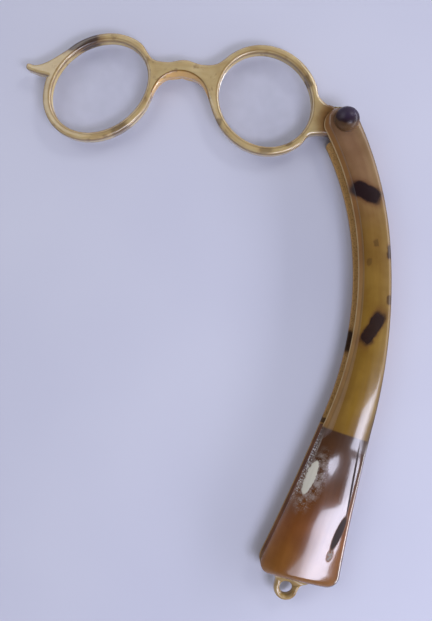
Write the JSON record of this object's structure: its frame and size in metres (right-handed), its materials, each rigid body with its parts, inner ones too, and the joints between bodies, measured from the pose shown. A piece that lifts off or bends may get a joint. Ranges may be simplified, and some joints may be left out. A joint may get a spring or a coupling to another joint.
{
  "type": "folding lorgnette",
  "caption": "Folding lorgnette: a blond shell eyeglass frame with oval lenses swings on a rivet into the slot of a long bowed handle that ends in a flared heel with a hanging loop.",
  "frame": {"origin": "bottom centre of the open lorgnette's box, on the surface that its back lies on", "axes": "+Y along the handle's length towards the hinge end, +X from the finger tab towards the handle, +Z out of the front face"},
  "size_m": [0.1314, 0.2048, 0.0136],
  "materials": {
    "amber_shell": "polished translucent amber-brown shell with dark mottling",
    "brown_shell": "polished red-brown shell",
    "blond_shell": "polished translucent blond shell with small brown mottling",
    "dark_shell": "polished near-black shell cap",
    "lens_glass": "clear polished lens glass",
    "rivet_brass": "plain turned brass"
  },
  "bodies": {
    "handle": {"front_cheek": "amber_shell", "back_cheek": "amber_shell", "spine_strip": "amber_shell", "heel_block": "brown_shell", "pivot_rivet": "rivet_brass", "rivet_burr": "rivet_brass", "pivot_knob": "dark_shell", "front_washer": "rivet_brass", "back_washer": "rivet_brass"},
    "eyeglass": {"eyeglass_frame": "blond_shell", "left_lens": "lens_glass", "right_lens": "lens_glass", "lug_bush": "rivet_brass"}
  },
  "joints": [
    {"name": "frame_fold", "type": "hinge", "parent": "handle", "child": "eyeglass", "pos_m": [0.0493, 0.07019, 0.0045], "axis": [0, 0, 1], "range_deg": [0, 87]}
  ]
}
